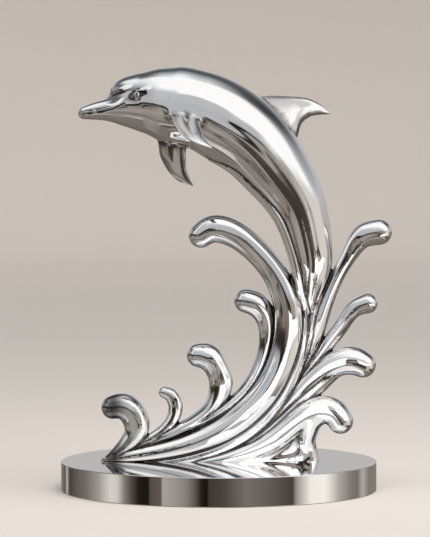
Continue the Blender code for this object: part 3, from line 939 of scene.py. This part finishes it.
def turned(shape, profile, sides):
    """Rings of points round the upright axis, one for each radius and height, and the squares between"""
    angles = np.linspace(0, 2 * math.pi, sides, endpoint=False)
    rings = [[shape.verts.new((r * math.cos(a), r * math.sin(a), z)) for a in angles] for r, z in profile]
    band_faces(shape, rings[::-1])
    return rings


def round_base(steel):
    """The base's drum, turned from its profile, with softly broken rims"""
    radius, height = BASE_HIGH.x, BASE_HIGH.z
    corner = [(radius - RIM + RIM * math.sin(a), height - RIM + RIM * math.cos(a))
              for a in np.linspace(0, math.pi / 2, RIM_STEPS)]
    corner = [(radius - RIM - RIM_BESIDE, height)] + corner + [(radius, height - RIM - RIM_BESIDE)]
    profile = [(radius * TOP_RING, height)] + corner + [(r, height - z) for r, z in corner[::-1]]
    shape = bmesh.new()
    rings = turned(shape, profile, BASE_SIDES)
    for ring, level, order in ((rings[0], height, 1), (rings[-1], 0, -1)):
        middle = shape.verts.new((0, 0, level))
        for i in range(BASE_SIDES):
            shape.faces.new((ring[i], ring[(i + 1) % BASE_SIDES], middle)[::order])
    bmesh.ops.recalc_face_normals(shape, faces=shape.faces)
    mesh = mesh_from(shape, "steel_base")
    mesh.shade_smooth()
    mesh.set_sharp_from_angle(angle=SHARP)
    return piece_from_mesh("steel_base", mesh, steel)


def plain_material(name, color):
    """A new material of one colour, with its shader"""
    material = bpy.data.materials.new(name)
    material.use_nodes = True
    shader = material.node_tree.nodes["Principled BSDF"]
    shader.inputs["Base Color"].default_value = (*color, 1.0)
    return material, shader


def steel_material(name, roughness, spread, wave, hollows):
    """Polished steel: faint cloudiness in its gloss, a slight waviness and painted shade in its hollows"""
    material, shader = plain_material(name, STEEL_TINT)
    shader.inputs["Metallic"].default_value = 1.0
    links = material.node_tree.links
    start = Wire(material.node_tree)
    place = start.make("ShaderNodeTexCoord", output="Object")
    gloss = roughness + (place.noise(*CLOUD) - 0.5) * spread
    if hollows:
        residue, tarnish = (start.make("ShaderNodeAttribute", {"attribute_name": layer}, output="Fac")
                            for layer in ("residue", "tarnish"))
        # Painted shade: a dull warm tone over the broad hollows
        color = (tarnish * BROAD_SHADE_COVER).mixed((*STEEL_TINT, 1.0), (*BROAD_SHADE_COLOR, 1.0))
        # Painted shade: near-black in tight hollows, inside the eyes and along the crease
        color = (residue * SHADE_COVER).mixed(color, (*SHADE_COLOR, 1.0))
        links.new(color.socket, shader.inputs["Base Color"])
        gloss = gloss + residue * SHADE_ROUGHNESS
    links.new(gloss.socket, shader.inputs["Roughness"])
    swell = place.noise(*SWELL)
    bump = start.make("ShaderNodeBump", sockets={"Strength": 1.0, "Distance": wave, "Height": swell})
    links.new(bump.socket, shader.inputs["Normal"])
    return material


def studio_floor():
    """A pale floor that curves up all round, far outside every camera"""
    inner, quarter = STUDIO_REACH - STUDIO_BEND, np.linspace(0, math.pi / 2, STUDIO_STEPS)
    profile = [(inner + STUDIO_BEND * math.sin(a), STUDIO_BEND - STUDIO_BEND * math.cos(a)) for a in quarter]
    shape = bmesh.new()
    rings = turned(shape, profile + [(STUDIO_REACH, STUDIO_HEIGHT)], STUDIO_SIDES)
    shape.faces.new(rings[0])
    mesh = mesh_from(shape, "studio_floor")
    mesh.shade_smooth()
    material, shader = plain_material("pale_floor", FLOOR_COLOR)
    shader.inputs["Roughness"].default_value = FLOOR_ROUGHNESS
    shader.inputs["Specular IOR Level"].default_value = FLOOR_GLOSS
    floor = piece_from_mesh("studio_floor", mesh, material)
    floor.visible_glossy = False


def shown_as(brightness, place):
    """The linear light that a screen shows at this brightness, warm below the horizon and cool above"""
    warmth = 0 if brightness >= WHITE else WARM_BELOW if place < LINE_TOP else COOL_ABOVE
    parts = ((brightness + shift) / 255 for shift in (warmth, 0, -warmth))
    return tuple(part / STRAIGHT if part <= KNEE else ((part + LIFT) / (1 + LIFT)) ** POWER for part in parts)


def ramp_stops(table, reach, height=None):
    """A table of degrees and brightness as a ramp's stops, whose ends stand for -reach and reach"""
    return [((place + reach) / (2 * reach), shown_as(level, place if height is None else height))
            for place, level in table]


def studio_light():
    """Everything that the steel mirrors: a pale ceiling, a dark line, a warm floor and soft reflectors"""
    world = bpy.data.worlds.new("studio")
    bpy.context.scene.world = world
    world.use_nodes = True
    start = Wire(world.node_tree)
    way = start.make("ShaderNodeTexCoord", output="Generated")
    x, y, z = (start.make("ShaderNodeSeparateXYZ", sockets={0: way}, output=i) for i in range(3))
    degree = math.radians(1)
    height = start.math("ARCSINE", z, 0.0) / degree
    side = start.math("ARCTAN2", x, -y) / degree
    by_height = height / (2 * UPRIGHT) + 0.5
    by_side = side / (2 * HALF_ROUND) + 0.5
    light = by_height.ramp(ramp_stops(FRONT, UPRIGHT))
    for table, across in SECTORS:
        light = side.band(*across).mixed(light, by_height.ramp(ramp_stops(table, UPRIGHT)))
    for level, across, above in REFLECTORS:
        shown = side.band(*across) * height.band(*above)
        light = shown.mixed(light, (*shown_as(level, above[0]), 1.0))
    round_about = by_side.ramp(ramp_stops(BY_SIDE, HALF_ROUND, SIDE_BAND[0]))
    light = height.band(*SIDE_BAND).mixed(light, round_about)
    background = world.node_tree.nodes["Background"]
    world.node_tree.links.new(light.socket, background.inputs["Color"])
    background.inputs["Strength"].default_value = 1 / STEEL_TINT[0]
    bpy.context.scene.view_settings.view_transform = "Standard"


def area_light(name, place, size, power):
    """A flat rectangular light and the lamp that holds it"""
    light = bpy.data.lights.new(name, "AREA")
    light.shape = "RECTANGLE"
    light.size, light.size_y = size
    light.energy = power
    lamp = linked(bpy.data.objects.new(name, light))
    lamp.location = place
    return light, lamp


def soft_box(name, place, aim, size, power):
    """A light that the steel doesn't mirror"""
    _, lamp = area_light(name, place, size, power)
    lamp.rotation_euler = (Vector(aim) - Vector(place)).to_track_quat("-Z", "Y").to_euler()
    lamp.visible_glossy = False


def light_card(brightness, front, across, above):
    """A light in front of the waves that shows only in the steel"""
    size = (across[1] - across[0], above[1] - above[0])
    place = (sum(across) / 2, -front, sum(above) / 2)
    light, card = area_light("card", place, size, 0.0)
    light.color = shown_as(brightness, LINE_TOP)
    light.energy = math.pi * light.size * light.size_y / STEEL_TINT[0]
    card.rotation_euler = (math.pi / 2, 0, 0)
    card.visible_camera = card.visible_diffuse = False


def camera():
    data = bpy.data.cameras.new("camera")
    data.sensor_width = SENSOR
    data.lens = FOCAL_PIXELS / IMAGE_HEIGHT * SENSOR
    data.clip_end = CAMERA_SIGHT
    holder = linked(bpy.data.objects.new("camera", data))
    holder.location = CAMERA_PLACE
    holder.rotation_euler = (math.pi / 2 - CAMERA_PITCH, 0, 0)
    bpy.context.scene.camera = holder


camera()
studio_floor()
studio_light()
soft_box("overhead", place=(0.6, -0.6, 3.2), aim=(0, 0, 0.3), size=(2.4, 2.4), power=60.0)
for card in CARDS:
    light_card(*card)

figure_steel = steel_material("polished_steel", roughness=0.035, spread=0.02, wave=0.00012, hollows=True)
base_steel = steel_material("base_steel", roughness=0.05, spread=0.02, wave=0.00002, hollows=False)
figure_piece = dolphin_and_waves(figure_steel)
base_piece = round_base(base_steel)
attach(figure_piece, "root")
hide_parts("dolphin_and_waves")
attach(base_piece, "root")
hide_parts("round_base")
